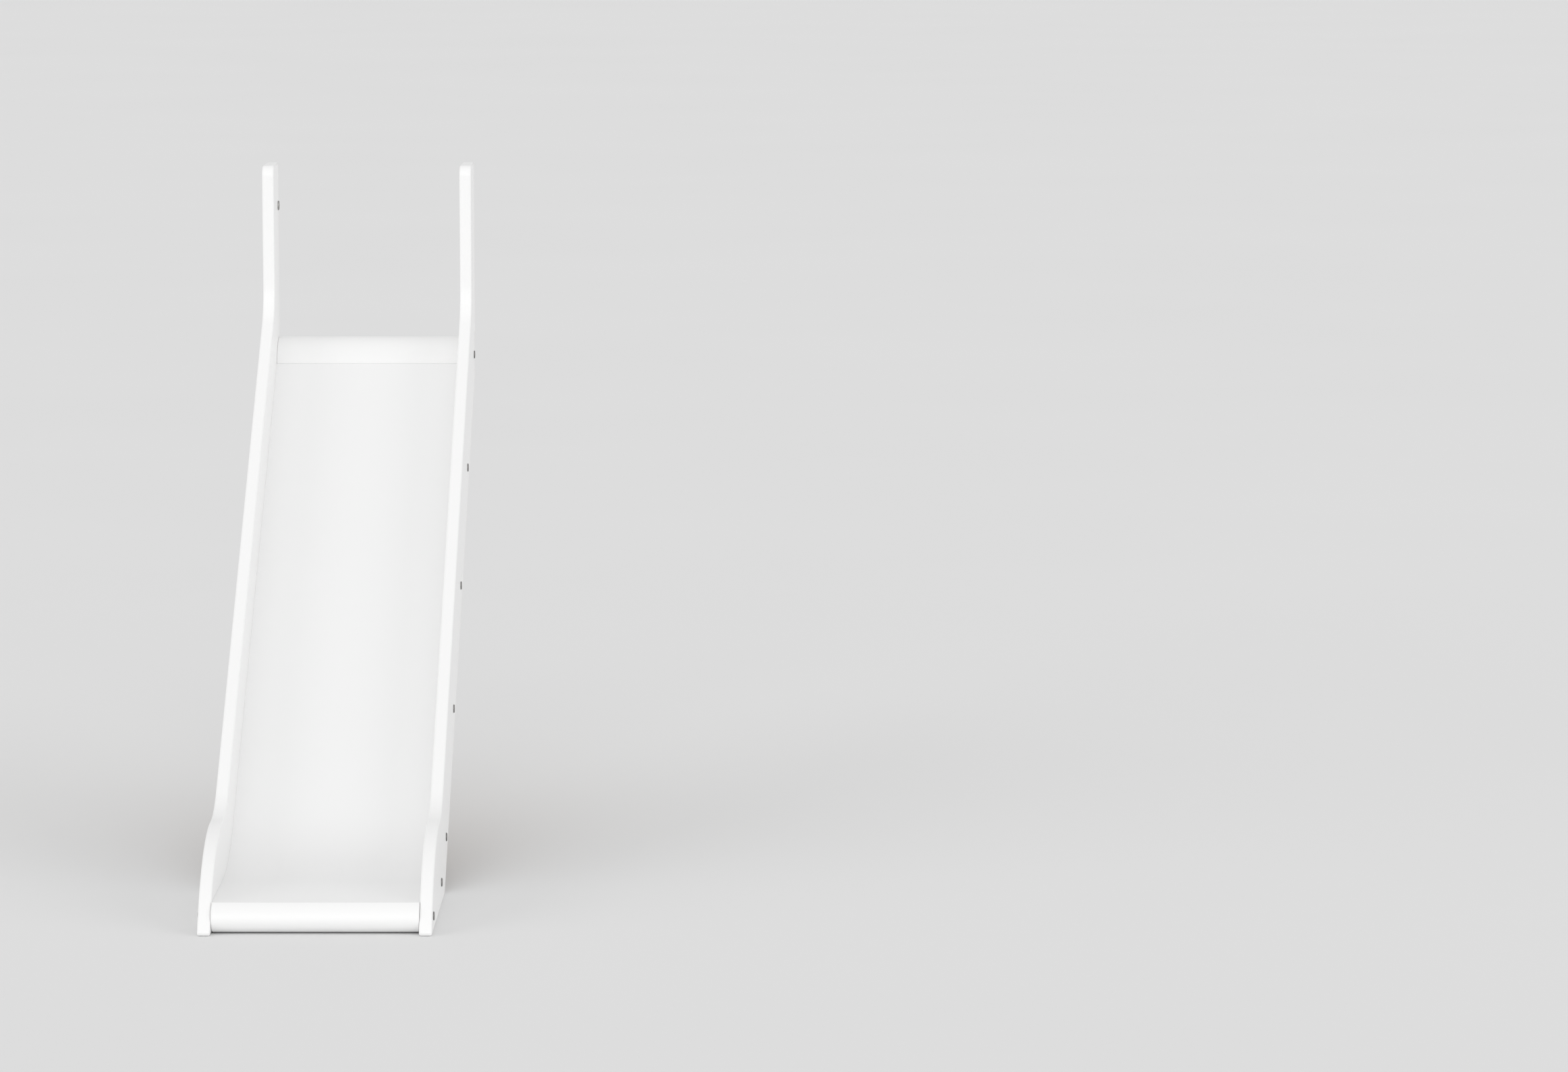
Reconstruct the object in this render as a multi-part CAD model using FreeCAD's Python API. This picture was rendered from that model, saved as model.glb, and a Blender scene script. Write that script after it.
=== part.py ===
"""Straight slide that hooks over the side rail of a mid-height child's bed.

Two painted side panels carry a thin curved deck in grooves. A rounded nosing closes the deck at
each end, battens back it from below, and furniture bolts with barrel nuts pull it all together.
X runs across the slide, -Y towards its foot, +Z up. The origin is on the floor, mid-box.
"""
import FreeCAD, Part
import math
import os

Vec = FreeCAD.Vector

# Overall size, mm
HEIGHT = 1200.0            # top of the side panels, level with the bed posts
DEPTH = 1510.0             # rear edge of the panels to the tip of the foot
INNER_WIDTH = 350.0        # clear width of the sliding surface
PANEL_THICK = 22.0

# Bed that the slide hooks on
RAIL_THICK = 22.0
LEDGE_HEIGHT = 875.0       # underside of the hook, which sits on the bed rail

# Side panel outline
INCLINE = math.radians(35.6)
PANEL_WIDTH = 165.0        # across the sloping stretch, square to it
HEAD_DEPTH = 110.0         # front to rear of the upright head
FOOT_LENGTH = 384.0        # tip to heel, along the floor
FOOT_TOP = 152.5           # highest level of the foot's back
NOSE_SLOPE = math.radians(58.4)   # how steeply the nose meets the floor
HEAD_CORNER_R = 20.0
NECK_R = 80.0              # head blends into the slope
INSTEP_R = 180.0           # slope blends into the foot
NOSE_R = 295.0
HEEL_R = 10.0
TIP_R = 6.0
HOOK_INNER_R = 4.0
EDGE_R = 4.0               # rounding along both rims of each panel

# Deck
DECK_THICK = 5.0
DECK_LEVEL = 61.0          # sliding face above the panel's underside, square to the slope
RUNOUT_TOP = 52.0          # sliding face of the level run-out
DECK_BEND_R = 360.0
GROOVE_DEPTH = 6.0
GROOVE_WIDTH = 5.4
DECK_TONGUE = 5.5          # how far the deck reaches into each groove
JOINT_GAP = 0.4            # open joint between the deck and each nosing
GROOVE_STOP = 8.0          # grooves end this far behind the foot bar's joint, out of sight
NOTCH_PLAY = 0.4           # between a groove's end and the notched tongue of the deck

# Entry nosing, a quarter-round block against the bed rail
ENTRY_TOP = 870.0
ENTRY_R = 60.0
ENTRY_END = math.radians(14.0)    # where its round ends, above level
LEDGE_LENGTH = 22.0        # rebate that carries the end of the deck
LEDGE_DEPTH = 13.0
REBATE_PLAY = 0.3
ENTRY_ROUND_MID = math.radians(52.0)

# Foot nosing, a bullnosed bar
FOOT_BAR_JOINT = 31.0      # deck joint behind the tip of the panels
FOOT_BAR_BACK = 42.0       # how far the bar runs back under the deck
FOOT_BAR_GAP = 1.8         # clear of the floor
FOOT_CROWN_R = 60.0
FOOT_CROWN_START = math.radians(60.0)
FOOT_CROWN_END = math.radians(42.0)
FOOT_NOSE_MID = math.radians(-24.0)
FOOT_BOLT_BACK = 13.0      # bolt behind the deck joint
FOOT_BOLT_Z = 27.0

# Battens under the deck
BATTEN_WIDTH = 40.0
BATTEN_THICK = 20.0
BATTEN_EDGE_R = 2.0

# Fasteners
BOLT_START_BACK = 15.0     # first bolt, in front of the bed rail
BOLT_PITCH = 320.0         # along the deck, bolt to bolt
BOLT_BELOW_DECK = 15.0     # bolt line under the sliding face
BOLT_R = 3.0
BOLT_LENGTH = 50.0
BOLT_HEAD_R = 7.5
BOLT_HEAD_THICK = 2.0
BOLT_HEAD_EDGE_R = 1.3
BOLT_HOLE_R = 3.4
SOCKET_R = 2.3             # hexagon socket, centre to corner
SOCKET_DEPTH = 3.0
NUT_R = 5.0
NUT_LENGTH = 14.0
NUT_BORE_R = 5.1
NUT_INSET = 20.0           # barrel nut's axis from the end of its batten
NUT_THREAD_R = 3.05
NUT_DEEP = 0.2             # how far its blind hole runs past it
NUT_BORE_DEPTH = 60.0      # out through the piece's underside
BOLT_BORE_DEPTH = 34.0
DOWEL_R = 4.0
DOWEL_LENGTH = 30.0
DOWEL_IN_PANEL = 11.0
DOWEL_PLAY = 0.5
DOWEL_OFFSET = 13.0        # beside the bolt, along the batten's width
DOWEL_FIT = 0.05
DOWEL_CHAMFER = 1.0
ENTRY_DOWEL = (-20.0, -20.0)      # from the bolt, where the nosing has most wood
FOOT_DOWEL = (18.0, -3.0)

# Fixing to the bed
POST_NUT_Z = 1119.0
POST_NUT_FROM_REAR = 17.0
POST_NUT_HEAD_R = 9.0
POST_NUT_HEAD_THICK = 2.6
POST_NUT_HEAD_EDGE_R = 1.7
POST_NUT_SOCKET_R = 2.6
POST_NUT_SLEEVE_R = 4.5
POST_NUT_SLEEVE_LENGTH = 19.0
POST_NUT_HOLE_R = 4.6
THREAD_R = 2.5
POST_NUT_THREAD_DEPTH = 16.0
INSERT_SPACING = 220.0
INSERT_Z = 835.0
INSERT_R = 6.0
INSERT_LENGTH = 15.0
INSERT_FIT = 0.05
BORE_OVERRUN = 1.0

# Reference lines worked out from the sizes above
REAR = DEPTH / 2
TIP = -DEPTH / 2
SHARP_TIP = TIP - TIP_R * (1 / math.tan(NOSE_SLOPE / 2) - 1)
HEEL = TIP + FOOT_LENGTH
RAIL_FACE = REAR - RAIL_THICK
HALF = INNER_WIDTH / 2
SIN = math.sin(INCLINE)
COS = math.cos(INCLINE)
SLOPE = math.tan(INCLINE)
FOOT_JOINT = TIP + FOOT_BAR_JOINT


def slope_height(y, above_underside):
    """Height of a line along the slope, at a square distance above the panels' underside."""
    return (y - HEEL) * SLOPE + above_underside / COS


def slope_place(z, above_underside):
    """Y at which that line is at height z."""
    return HEEL + (z - above_underside / COS) / SLOPE


def turn_arc(before, corner, after, radius):
    """Start, middle and end of the arc that rounds a corner of an outline in Y and Z."""
    into = (corner - before).normalize()
    out = (after - corner).normalize()
    turn = math.acos(max(-1.0, min(1.0, into.dot(out))))
    tangent = radius * math.tan(turn / 2)
    start = corner - into * tangent
    end = corner + out * tangent
    inward = (out - into).normalize()
    centre = corner + inward * (radius / math.cos(turn / 2))
    middle = centre - inward * radius
    return start, middle, end


def outline_face(corners, x):
    """Flat face at x from (y, z, radius) corners: round where the radius isn't zero."""
    points = [Vec(x, y, z) for y, z, _ in corners]
    edges = []
    pen = None
    first = None
    for i, corner in enumerate(points):
        before = points[i - 1]
        after = points[(i + 1) % len(points)]
        radius = corners[i][2]
        if radius:
            start, middle, end = turn_arc(before, corner, after, radius)
        else:
            start, middle, end = corner, None, corner
        if pen is None:
            first = start
        else:
            edges.append(Part.makeLine(pen, start))
        if middle is not None:
            edges.append(Part.Arc(start, middle, end).toShape())
        pen = end
    edges.append(Part.makeLine(pen, first))
    return Part.Face(Part.Wire(edges))


def prism(corners, x_low, x_high):
    """Solid with the outline's section, from x_low to x_high."""
    return outline_face(corners, x_low).extrude(Vec(x_high - x_low, 0, 0))


def rod(start, direction, radius, length):
    return Part.makeCylinder(radius, length, start, direction)


def hex_socket(mouth, direction, radius):
    """Hexagonal socket cutter, its mouth at a point and running along X."""
    corners = []
    for k in range(7):
        turn = math.radians(60 * k)
        corners.append(mouth + Vec(0, radius * math.cos(turn), radius * math.sin(turn)))
    return Part.Face(Part.makePolygon(corners)).extrude(direction * SOCKET_DEPTH)


def outer_rim(solid, x):
    """Edges of a turned piece that lie in the plane at x."""
    return [e for e in solid.Edges if abs(e.BoundBox.XMin - x) < 1e-4 and abs(e.BoundBox.XMax - x) < 1e-4]


def rounded_rims(solid, x_faces, radius):
    """Round every edge of the solid that lies in one of the planes x = value."""
    rims = []
    for x in x_faces:
        rims += outer_rim(solid, x)
    return solid.makeFillet(radius, rims)


# Sections

def panel_outline():
    """Head, slope, instep and nose, then the floor, the underside and the hook."""
    front = REAR - HEAD_DEPTH
    nose_corner = SHARP_TIP + FOOT_TOP / math.tan(NOSE_SLOPE)
    return [
        (REAR, HEIGHT, 0),
        (front, HEIGHT, HEAD_CORNER_R),
        (front, slope_height(front, PANEL_WIDTH), NECK_R),
        (slope_place(FOOT_TOP, PANEL_WIDTH), FOOT_TOP, INSTEP_R),
        (nose_corner, FOOT_TOP, NOSE_R),
        (SHARP_TIP, 0, TIP_R),
        (HEEL, 0, HEEL_R),
        (RAIL_FACE, slope_height(RAIL_FACE, 0), HEEL_R),
        (RAIL_FACE, LEDGE_HEIGHT, HOOK_INNER_R),
        (REAR, LEDGE_HEIGHT, HOOK_INNER_R),
    ]


def entry_round_end():
    """Point where the entry nosing's round stops, just above the sliding face."""
    centre_z = ENTRY_TOP - ENTRY_R
    return RAIL_FACE - ENTRY_R * math.cos(ENTRY_END), centre_z + ENTRY_R * math.sin(ENTRY_END)


def deck_band(drop, thick, upper_end, lower_end):
    """Outline of a band that follows the sliding face, drop below it and thick deep."""
    upper = DECK_LEVEL - drop
    lower = upper - thick
    level = RUNOUT_TOP - drop
    high_y, high_z = upper_end
    top_y = high_y + drop * SIN
    top_z = high_z - drop * COS
    return [
        (top_y, top_z, 0),
        (slope_place(level, upper), level, DECK_BEND_R + drop),
        (lower_end, level, 0),
        (lower_end, level - thick, 0),
        (slope_place(level - thick, lower), level - thick, DECK_BEND_R + drop + thick),
        (top_y + thick * SIN, top_z - thick * COS, 0),
    ]


def deck_upper_end():
    """Upper end of the sliding face, one joint gap below the entry nosing."""
    y, _ = entry_round_end()
    y -= JOINT_GAP * COS
    return y, slope_height(y, DECK_LEVEL)


# Fixing stations, from the entry to the foot. Each is (y, z, tilt) of a cross bolt and its piece.

def bolt_line(distance):
    """Point at a distance along the line of bolts, which runs level with the deck below it."""
    start_y = RAIL_FACE - BOLT_START_BACK
    start_z = slope_height(start_y, DECK_LEVEL - BOLT_BELOW_DECK)
    radius = DECK_BEND_R + BOLT_BELOW_DECK
    bend_y = slope_place(RUNOUT_TOP, DECK_LEVEL) - DECK_BEND_R * math.tan(INCLINE / 2)
    bend_z = RUNOUT_TOP + DECK_BEND_R
    straight = (start_y - bend_y - radius * SIN) / COS
    if distance <= straight:
        return start_y - distance * COS, start_z - distance * SIN, INCLINE
    tilt = INCLINE - (distance - straight) / radius
    return bend_y + radius * math.sin(tilt), bend_z - radius * math.cos(tilt), tilt


def stations():
    """Entry nosing, four battens on the slope, one under the bend's end and the foot bar."""
    y, z, _ = bolt_line(0)
    found = [(y, z, 0.0)]
    found += [bolt_line(BOLT_PITCH * step) for step in (1, 2, 3, 4, 4.5)]
    found.append((FOOT_JOINT + FOOT_BOLT_BACK, FOOT_BOLT_Z, 0.0))
    return found


ENTRY_INDEX = 0
FOOT_INDEX = 6


def dowel_place(index, station):
    """Dowel beside each bolt: up the slope on a batten, where there is most wood in a nosing."""
    y, z, lie = station
    if index == ENTRY_INDEX:
        return y + ENTRY_DOWEL[0], z + ENTRY_DOWEL[1]
    if index == FOOT_INDEX:
        return y + FOOT_DOWEL[0], z + FOOT_DOWEL[1]
    return y + DOWEL_OFFSET * math.cos(lie), z + DOWEL_OFFSET * math.sin(lie)


# Cutters

def cross_bores(solid, side, index, station):
    """Bolt, barrel nut and dowel holes in one end of a batten or nosing."""
    y, z, lie = station
    end = side * HALF
    inward = Vec(-side, 0, 0)
    down = Vec(0, math.sin(lie), -math.cos(lie))
    dowel_y, dowel_z = dowel_place(index, station)
    nut_start = Vec(end - side * NUT_INSET, y, z) - down * (NUT_LENGTH / 2 + NUT_DEEP)
    cuts = [
        rod(Vec(end, y, z), inward, BOLT_HOLE_R, BOLT_BORE_DEPTH),
        rod(nut_start, down, NUT_BORE_R, NUT_BORE_DEPTH),
        rod(Vec(end, dowel_y, dowel_z), inward, DOWEL_R, DOWEL_LENGTH - DOWEL_IN_PANEL + DOWEL_PLAY),
    ]
    return solid.cut(cuts)


def bored(solid, index, station):
    for side in (-1, 1):
        solid = cross_bores(solid, side, index, station)
    return solid


# Pieces

def side_panel(side):
    """One board, its rims rounded, grooved for the deck and bored for the fasteners."""
    inner = side * HALF
    outer = side * (HALF + PANEL_THICK)
    low, high = min(inner, outer), max(inner, outer)
    board = rounded_rims(prism(panel_outline(), low, high), (low, high), EDGE_R)
    play = (GROOVE_WIDTH - DECK_THICK) / 2
    upper_y, upper_z = deck_upper_end()
    band = deck_band(-play, GROOVE_WIDTH, (upper_y + COS, upper_z + SIN), FOOT_JOINT + GROOVE_STOP)
    groove_bottom = inner + side * GROOVE_DEPTH
    groove_mouth = inner - side * BORE_OVERRUN
    groove = prism(band, min(groove_mouth, groove_bottom), max(groove_mouth, groove_bottom))
    cuts = [groove]
    outward = Vec(side, 0, 0)
    through = PANEL_THICK + 2 * BORE_OVERRUN
    for index, station in enumerate(stations()):
        y, z, _ = station
        dowel_y, dowel_z = dowel_place(index, station)
        cuts.append(rod(Vec(inner, y, z) - outward * BORE_OVERRUN, outward, BOLT_HOLE_R, through))
        cuts.append(rod(Vec(inner, dowel_y, dowel_z) - outward * BORE_OVERRUN, outward, DOWEL_R,
                        BORE_OVERRUN + DOWEL_IN_PANEL + DOWEL_PLAY))
    if side < 0:
        place = Vec(inner, REAR - POST_NUT_FROM_REAR, POST_NUT_Z)
        cuts.append(rod(place - outward * BORE_OVERRUN, outward, POST_NUT_HOLE_R, through))
    return board.cut(cuts)


def slide_deck():
    """Thin smooth sheet, bent level at the foot, its tongues notched where the grooves stop."""
    reach = HALF + DECK_TONGUE
    band = deck_band(0, DECK_THICK, deck_upper_end(), FOOT_JOINT + JOINT_GAP)
    notch = Part.makeBox(DECK_TONGUE, GROOVE_STOP + NOTCH_PLAY, DECK_LEVEL, Vec(HALF, FOOT_JOINT, 0))
    return prism(band, -reach, reach).cut([notch, notch.mirror(Vec(0, 0, 0), Vec(1, 0, 0))])


def entry_nosing():
    """Quarter-round block against the bed rail, rebated for the end of the deck."""
    end_y, end_z = entry_round_end()
    face = slope_height(end_y, DECK_LEVEL)
    drop = DECK_THICK + REBATE_PLAY
    wall = Vec(-HALF, end_y + drop * SIN, face - drop * COS)
    lip = wall + Vec(0, -COS, -SIN) * LEDGE_LENGTH
    under = lip + Vec(0, SIN, -COS) * LEDGE_DEPTH
    top = Vec(-HALF, RAIL_FACE, ENTRY_TOP)
    middle = top + Vec(0, -ENTRY_R * math.cos(ENTRY_ROUND_MID), ENTRY_R * (math.sin(ENTRY_ROUND_MID) - 1))
    round_end = Vec(-HALF, end_y, end_z)
    corners = [round_end, Vec(-HALF, end_y, face), wall, lip, under, Vec(-HALF, RAIL_FACE, under.z), top]
    edges = [Part.Arc(top, middle, round_end).toShape()]
    edges += [Part.makeLine(a, b) for a, b in zip(corners, corners[1:])]
    block = Part.Face(Part.Wire(edges)).extrude(Vec(INNER_WIDTH, 0, 0))
    block = bored(block, ENTRY_INDEX, stations()[ENTRY_INDEX])
    for x in (-INSERT_SPACING / 2, INSERT_SPACING / 2):
        block = block.cut(rod(Vec(x, RAIL_FACE, INSERT_Z), Vec(0, -1, 0), INSERT_R, INSERT_LENGTH))
    return block


def foot_normal(angle):
    """Direction out of the bar's face, at an angle above level."""
    return Vec(0, -math.cos(angle), math.sin(angle))


def foot_nosing():
    """Bullnosed bar that ends the run-out, rebated for the deck and just clear of the floor."""
    joint = Vec(-HALF, FOOT_JOINT, RUNOUT_TOP)
    crown_centre = joint - foot_normal(FOOT_CROWN_START) * FOOT_CROWN_R
    shoulder = crown_centre + foot_normal(FOOT_CROWN_END) * FOOT_CROWN_R
    crown_mid = crown_centre + foot_normal((FOOT_CROWN_START + FOOT_CROWN_END) / 2) * FOOT_CROWN_R
    nose_r = (shoulder.z - FOOT_BAR_GAP) / (1 + math.sin(FOOT_CROWN_END))
    nose_centre = shoulder - foot_normal(FOOT_CROWN_END) * nose_r
    nose_mid = nose_centre + foot_normal(FOOT_NOSE_MID) * nose_r
    toe = nose_centre + Vec(0, 0, -nose_r)
    rear = FOOT_JOINT + FOOT_BAR_BACK
    ledge = RUNOUT_TOP - DECK_THICK - REBATE_PLAY
    edges = [Part.Arc(joint, crown_mid, shoulder).toShape(), Part.Arc(shoulder, nose_mid, toe).toShape()]
    corners = [toe, Vec(-HALF, rear, FOOT_BAR_GAP), Vec(-HALF, rear, ledge),
               Vec(-HALF, FOOT_JOINT, ledge), joint]
    edges += [Part.makeLine(a, b) for a, b in zip(corners, corners[1:])]
    bar = Part.Face(Part.Wire(edges)).extrude(Vec(INNER_WIDTH, 0, 0))
    return bored(bar, FOOT_INDEX, stations()[FOOT_INDEX])


def batten(index):
    """Planed softwood batten, tight under the deck."""
    station = stations()[index]
    y, z, lie = station
    half_width = BATTEN_WIDTH / 2
    top = BOLT_BELOW_DECK - DECK_THICK
    box = Part.makeBox(INNER_WIDTH, BATTEN_WIDTH, BATTEN_THICK, Vec(-HALF, -half_width, top - BATTEN_THICK))
    long_edges = [e for e in box.Edges if e.BoundBox.XLength > INNER_WIDTH - 1]
    box = box.makeFillet(BATTEN_EDGE_R, long_edges)
    box.rotate(Vec(0, 0, 0), Vec(1, 0, 0), math.degrees(lie))
    box.translate(Vec(0, y, z))
    return bored(box, index, station)


def connector_bolt(side, station):
    """Low-headed furniture bolt with a hexagon socket."""
    y, z, _ = station
    seat = Vec(side * (HALF + PANEL_THICK), y, z)
    outward = Vec(side, 0, 0)
    head = rod(seat, outward, BOLT_HEAD_R, BOLT_HEAD_THICK)
    crown = seat + outward * BOLT_HEAD_THICK
    head = head.makeFillet(BOLT_HEAD_EDGE_R, outer_rim(head, crown.x))
    bolt = head.fuse(rod(seat, outward * -1, BOLT_R, BOLT_LENGTH)).removeSplitter()
    return bolt.cut(hex_socket(crown, outward * -1, SOCKET_R))


def barrel_nut(side, station):
    """Round cross nut in a batten's end, threaded across its middle."""
    y, z, lie = station
    down = Vec(0, math.sin(lie), -math.cos(lie))
    centre = Vec(side * (HALF - NUT_INSET), y, z)
    nut = rod(centre - down * (NUT_LENGTH / 2), down, NUT_R, NUT_LENGTH)
    return nut.cut(rod(centre - Vec(NUT_LENGTH / 2, 0, 0), Vec(1, 0, 0), NUT_THREAD_R, NUT_LENGTH))


def dowel(side, index, station):
    """Beech pin between the panel and a batten's end."""
    y, z = dowel_place(index, station)
    start = Vec(side * (HALF + DOWEL_IN_PANEL), y, z)
    pin = rod(start, Vec(-side, 0, 0), DOWEL_R - DOWEL_FIT, DOWEL_LENGTH)
    ends = outer_rim(pin, start.x) + outer_rim(pin, start.x - side * DOWEL_LENGTH)
    return pin.makeChamfer(DOWEL_CHAMFER, ends)


def post_sleeve_nut():
    """Headed sleeve nut through the left panel; a bolt from the bed post screws into it."""
    seat = Vec(-HALF, REAR - POST_NUT_FROM_REAR, POST_NUT_Z)
    head = rod(seat, Vec(1, 0, 0), POST_NUT_HEAD_R, POST_NUT_HEAD_THICK)
    crown = seat + Vec(POST_NUT_HEAD_THICK, 0, 0)
    head = head.makeFillet(POST_NUT_HEAD_EDGE_R, outer_rim(head, crown.x))
    sleeve = rod(seat, Vec(-1, 0, 0), POST_NUT_SLEEVE_R, POST_NUT_SLEEVE_LENGTH)
    nut = head.fuse(sleeve).removeSplitter()
    nut = nut.cut(hex_socket(crown, Vec(-1, 0, 0), POST_NUT_SOCKET_R))
    end = seat - Vec(POST_NUT_SLEEVE_LENGTH, 0, 0)
    return nut.cut(rod(end, Vec(1, 0, 0), THREAD_R, POST_NUT_THREAD_DEPTH))


def rail_insert(x):
    """Threaded insert in the entry nosing's rear face, for a bolt through the bed rail."""
    mouth = Vec(x, RAIL_FACE, INSERT_Z)
    body = rod(mouth, Vec(0, -1, 0), INSERT_R - INSERT_FIT, INSERT_LENGTH)
    return body.cut(rod(mouth, Vec(0, -1, 0), THREAD_R, INSERT_LENGTH))


def save(name, shape):
    if isinstance(shape, list):
        shape = Part.makeCompound(shape)
    shape.exportStep(f"parts/{name}.step")
    box = shape.BoundBox
    print(f"{name}: {len(shape.Solids)} solid(s), {shape.Volume / 1000:.1f} cm3, valid {shape.isValid()}, "
          f"y {box.YMin:.1f}..{box.YMax:.1f}, z {box.ZMin:.1f}..{box.ZMax:.1f}")


os.makedirs("parts", exist_ok=True)
places = stations()
save("side_panel_left", side_panel(-1))
save("side_panel_right", side_panel(1))
save("slide_deck", slide_deck())
save("entry_nosing", entry_nosing())
save("foot_nosing", foot_nosing())
for number in range(1, 5):
    save(f"cross_batten_{number}", batten(number))
save("runout_batten", batten(5))
for side, hand in ((-1, "left"), (1, "right")):
    save(f"connector_bolts_{hand}", [connector_bolt(side, s) for s in places])
    save(f"barrel_nuts_{hand}", [barrel_nut(side, s) for s in places])
    save(f"dowels_{hand}", [dowel(side, i, s) for i, s in enumerate(places)])
save("post_sleeve_nut", post_sleeve_nut())
save("rail_inserts", [rail_insert(x) for x in (-INSERT_SPACING / 2, INSERT_SPACING / 2)])
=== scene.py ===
"""Looks of a straight slide that hooks over the side rail of a child's bed.

Lengths are in metres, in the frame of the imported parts: X across, -Y to the foot, +Z up.
"""

import math

import bmesh
import bpy
from mathutils import Matrix, Vector


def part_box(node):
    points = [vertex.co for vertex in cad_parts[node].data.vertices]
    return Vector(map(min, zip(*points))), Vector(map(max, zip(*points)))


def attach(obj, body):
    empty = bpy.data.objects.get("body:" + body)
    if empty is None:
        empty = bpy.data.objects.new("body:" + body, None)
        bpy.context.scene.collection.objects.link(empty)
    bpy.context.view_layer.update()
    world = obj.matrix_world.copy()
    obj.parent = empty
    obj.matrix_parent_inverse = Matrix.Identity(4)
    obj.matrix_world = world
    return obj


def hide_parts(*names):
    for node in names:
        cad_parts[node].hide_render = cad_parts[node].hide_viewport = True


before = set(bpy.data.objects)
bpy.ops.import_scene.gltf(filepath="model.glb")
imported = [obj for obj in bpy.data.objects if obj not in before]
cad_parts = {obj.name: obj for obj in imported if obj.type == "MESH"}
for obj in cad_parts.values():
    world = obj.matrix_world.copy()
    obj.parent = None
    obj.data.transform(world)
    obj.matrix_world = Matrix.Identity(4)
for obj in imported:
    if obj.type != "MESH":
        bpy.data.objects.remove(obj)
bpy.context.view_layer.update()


# Side panels. Two boards of 22 mm fibreboard cut to one outline, routed round along both rims,
# grooved for the deck, drilled for the fasteners and sprayed in satin white.

PANEL_LOW, PANEL_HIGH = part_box("side_panel_right")
HALF = PANEL_LOW.x                      # half the clear width between the panels
PANEL_THICK = PANEL_HIGH.x - PANEL_LOW.x
TIP, REAR, HEIGHT = PANEL_LOW.y, PANEL_HIGH.y, PANEL_HIGH.z
RAIL_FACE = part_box("entry_nosing")[1].y
HOOK_HEIGHT = 0.875
INCLINE = math.radians(35.6)
SIN, COS, SLOPE = math.sin(INCLINE), math.cos(INCLINE), math.tan(INCLINE)
HEEL = TIP + 0.384
PANEL_WIDTH = 0.165                     # square to the slope
HEAD_FRONT = REAR - 0.110
FOOT_TOP = 0.1525
NOSE_SLOPE = math.radians(58.4)
TIP_ROUND = 0.006
SHARP_TIP = TIP - TIP_ROUND * (1 / math.tan(NOSE_SLOPE / 2) - 1)
RIM_ROUND = 0.004
ARC_STEP = math.radians(2.5)
SMALL_ARC = 0.030
SMALL_ARC_STEP = math.radians(12)


def slope_height(y, above_underside):
    """Height of a line along the slope that lies square above the panels' underside."""
    return (y - HEEL) * SLOPE + above_underside / COS


def slope_place(z, above_underside):
    """Where along Y that line reaches height z."""
    return HEEL + (z - above_underside / COS) / SLOPE


def rounded(corners, inset=0.0):
    """Closed outline in Y and Z through (y, z, radius) corners, drawn in by the inset.

    Corners run anticlockwise. Each radius gives an arc with as many points at every inset.
    """
    points = [Vector(corner[:2]) for corner in corners]
    outline = []
    for i, (point, (_, _, radius)) in enumerate(zip(points, corners)):
        into = (point - points[i - 1]).normalized()
        out = (points[(i + 1) % len(points)] - point).normalized()
        turn = math.atan2(into.x * out.y - into.y * out.x, into.dot(out))
        left, next_left = Vector((-into.y, into.x)), Vector((-out.y, out.x))
        corner = point + (left + next_left) * inset / (1 + left.dot(next_left))
        if not radius:
            outline.append(corner)
            continue
        bend = max(0.0, radius - math.copysign(inset, turn))
        start = corner - into * bend * math.tan(abs(turn) / 2)
        centre = start + left * math.copysign(bend, turn)
        steps = math.ceil(abs(turn) / (ARC_STEP if radius > SMALL_ARC else SMALL_ARC_STEP))
        for k in range(steps + 1):
            outline.append(centre + Matrix.Rotation(turn * k / steps, 2) @ (start - centre))
    return outline


def new_piece(name, mesh_work):
    """Object made from a finished bmesh."""
    bmesh.ops.remove_doubles(mesh_work, verts=mesh_work.verts, dist=2e-6)
    bmesh.ops.recalc_face_normals(mesh_work, faces=mesh_work.faces)
    mesh = bpy.data.meshes.new(name)
    mesh_work.to_mesh(mesh)
    mesh_work.free()
    piece = bpy.data.objects.new(name, mesh)
    bpy.context.scene.collection.objects.link(piece)
    return piece


def add_slab(work, corners, x_low, x_high, rim=0.0, rim_steps=6):
    """Board cut to the corners' outline between two X planes, with its rims rounded."""
    rows = [(x_low + rim, 0.0), (x_high - rim, 0.0)]
    if rim:
        turns = [math.pi / 2 * k / rim_steps for k in range(rim_steps)]
        low = [(x_low + rim * (1 - math.cos(a)), rim * (1 - math.sin(a))) for a in turns]
        high = [(x_low + x_high - x, inset) for x, inset in reversed(low)]
        rows = low + rows + high
    loops = []
    for x, inset in rows:
        loops.append([work.verts.new((x, *point)) for point in rounded(corners, inset)])
    for one, two in zip(loops, loops[1:]):
        for i in range(len(one)):
            work.faces.new((one[i - 1], one[i], two[i], two[i - 1]))
    work.faces.new(loops[0])
    work.faces.new(loops[-1])


def add_lathe(work, profile, start, axis, sides=48):
    """Turned solid: (distance along the axis, radius) points, capped at both ends."""
    turn = Vector((0, 0, 1)).rotation_difference(Vector(axis)).to_matrix()
    rings = []
    for along, radius in profile:
        ring = []
        for k in range(sides):
            spoke = 2 * math.pi * k / sides
            point = Vector((radius * math.cos(spoke), radius * math.sin(spoke), along))
            ring.append(work.verts.new(Vector(start) + turn @ point))
        rings.append(ring)
    for one, two in zip(rings, rings[1:]):
        for k in range(sides):
            work.faces.new((one[k - 1], one[k], two[k], two[k - 1]))
    work.faces.new(rings[0])
    work.faces.new(rings[-1])


def add_rod(work, start, axis, radius, length, sides=48):
    add_lathe(work, [(0, radius), (length, radius)], start, axis, sides)


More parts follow.
